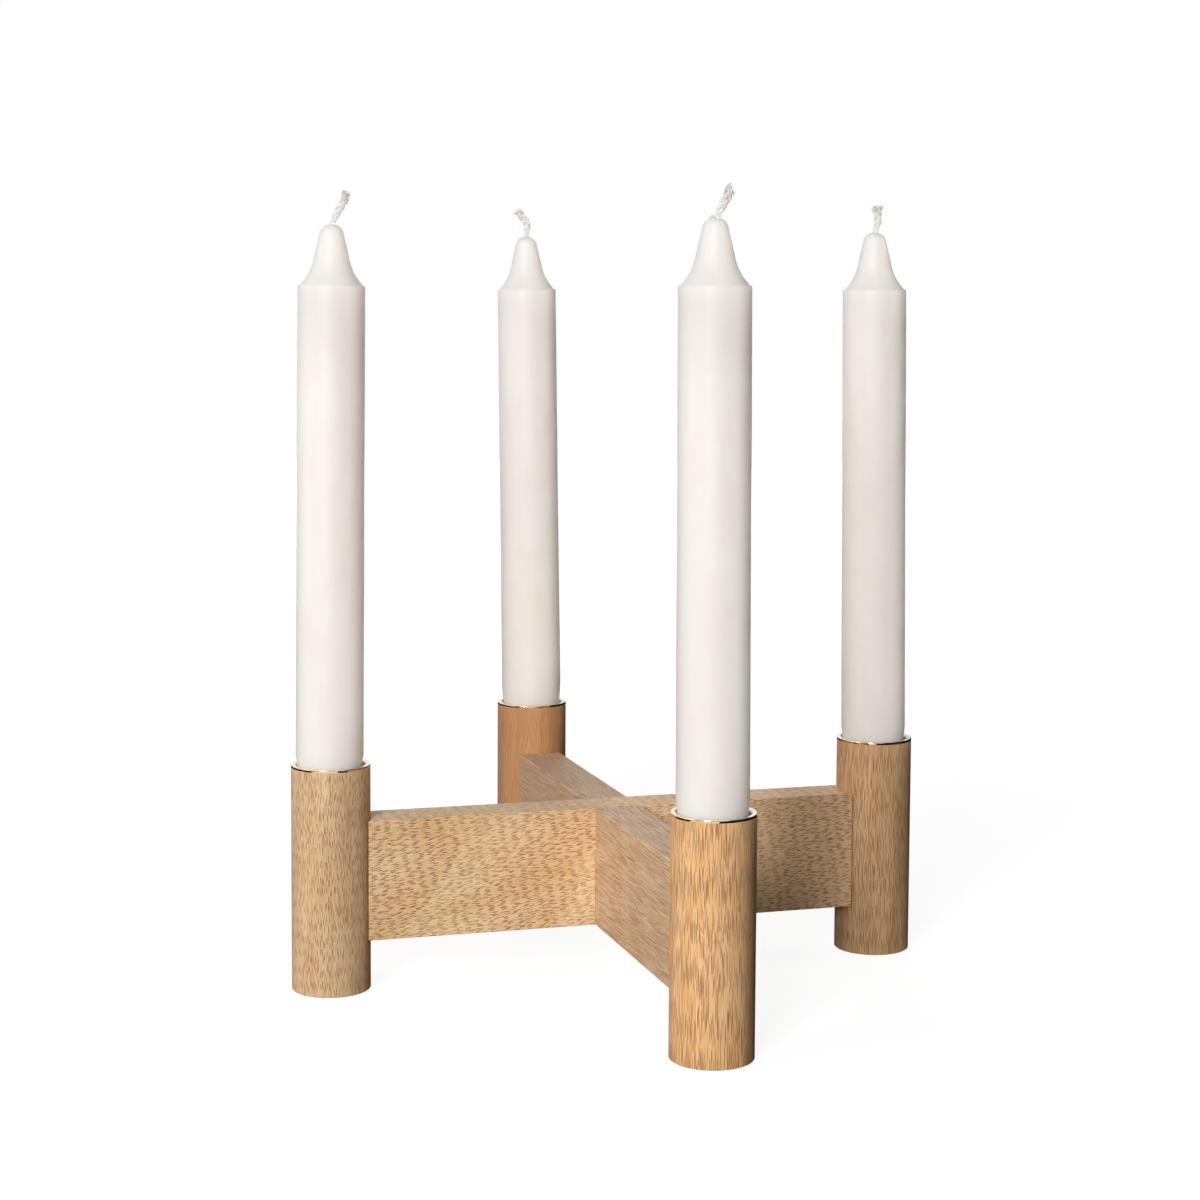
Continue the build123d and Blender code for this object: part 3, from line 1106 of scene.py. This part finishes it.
def add_camera(settings):
    s = settings
    level_ahead = Vector((math.sin(s.azimuth), math.cos(s.azimuth), 0))
    ahead = level_ahead * math.cos(s.elevation) - Vector((0, 0, math.sin(s.elevation)))
    level_right = Vector((math.cos(s.azimuth), -math.sin(s.azimuth), 0))
    level_up = level_right.cross(ahead)
    right = level_right * math.cos(s.roll) + level_up * math.sin(s.roll)
    up = level_up * math.cos(s.roll) - level_right * math.sin(s.roll)
    target = level_right * s.target_side + Vector((0, 0, s.target_height))
    lens = bpy.data.cameras.new("camera")
    lens.sensor_width = SENSOR_WIDTH
    lens.lens = s.lens
    lens.shift_y = s.shift
    camera = bpy.data.objects.new("camera", lens)
    turn = Matrix((right, up, -ahead)).transposed()
    camera.matrix_world = Matrix.Translation(target - ahead * s.distance) @ turn.to_4x4()
    bpy.context.scene.collection.objects.link(camera)
    bpy.context.scene.camera = camera


class CANDLEHOLDER_OT_stage(bpy.types.Operator):
    """Set the white floor, the studio light and the camera"""
    bl_idname = "candleholder.stage"
    bl_label = "Set the stage"

    def execute(self, context):
        settings = context.scene.holder_stage
        context.scene.view_settings.view_transform = "Standard"
        add_floor()
        white_room(settings.ambient)
        for name, lamp in LAMPS.items():
            add_light(f"{name}_light", lamp, getattr(settings, f"{name}_power"))
        for side, share in SHADED_CANDLES.items():
            target = middle(f"{side}_post")
            target.z = SHADED_HEIGHT
            lamp = Lamp(target + SHADED_WAY, target, width=0.03, height=0.12, spread=110, tint=WARM)
            add_light(f"{side}_candle_light", lamp, settings.shaded_power * share)
        add_flags()
        add_camera(settings)
        return {"FINISHED"}


# The add-on

class CANDLEHOLDER_PT_panel(bpy.types.Panel):
    """Lists the steps that finish the candle holder"""
    bl_idname = "CANDLEHOLDER_PT_panel"
    bl_label = "Advent candle holder"
    bl_space_type = "VIEW_3D"
    bl_region_type = "UI"
    bl_category = "Candle holder"

    def draw(self, context):
        for operator in OPERATORS:
            self.layout.operator(operator.bl_idname)
        for name in SETTINGS:
            settings = getattr(context.scene, name)
            box = self.layout.box()
            for field in settings.__annotations__:
                box.prop(settings, field)


OPERATORS = (
    CANDLEHOLDER_OT_wood,
    CANDLEHOLDER_OT_cups,
    CANDLEHOLDER_OT_candles,
    CANDLEHOLDER_OT_wicks,
    CANDLEHOLDER_OT_stage,
)
SETTINGS = {
    "holder_wood": WoodSettings,
    "holder_brass": BrassSettings,
    "holder_candle": CandleSettings,
    "holder_wick": WickSettings,
    "holder_stage": StageSettings,
}


def register():
    for name, group in SETTINGS.items():
        bpy.utils.register_class(group)
        setattr(bpy.types.Scene, name, PointerProperty(type=group))
    for operator in OPERATORS:
        bpy.utils.register_class(operator)
    bpy.utils.register_class(CANDLEHOLDER_PT_panel)


def unregister():
    bpy.utils.unregister_class(CANDLEHOLDER_PT_panel)
    for operator in reversed(OPERATORS):
        bpy.utils.unregister_class(operator)
    for name, group in SETTINGS.items():
        delattr(bpy.types.Scene, name)
        bpy.utils.unregister_class(group)


def main():
    register()
    bpy.ops.candleholder.wood()
    bpy.ops.candleholder.cups()
    bpy.ops.candleholder.candles()
    bpy.ops.candleholder.wicks()
    bpy.ops.candleholder.stage()


if __name__ == "__main__":
    main()
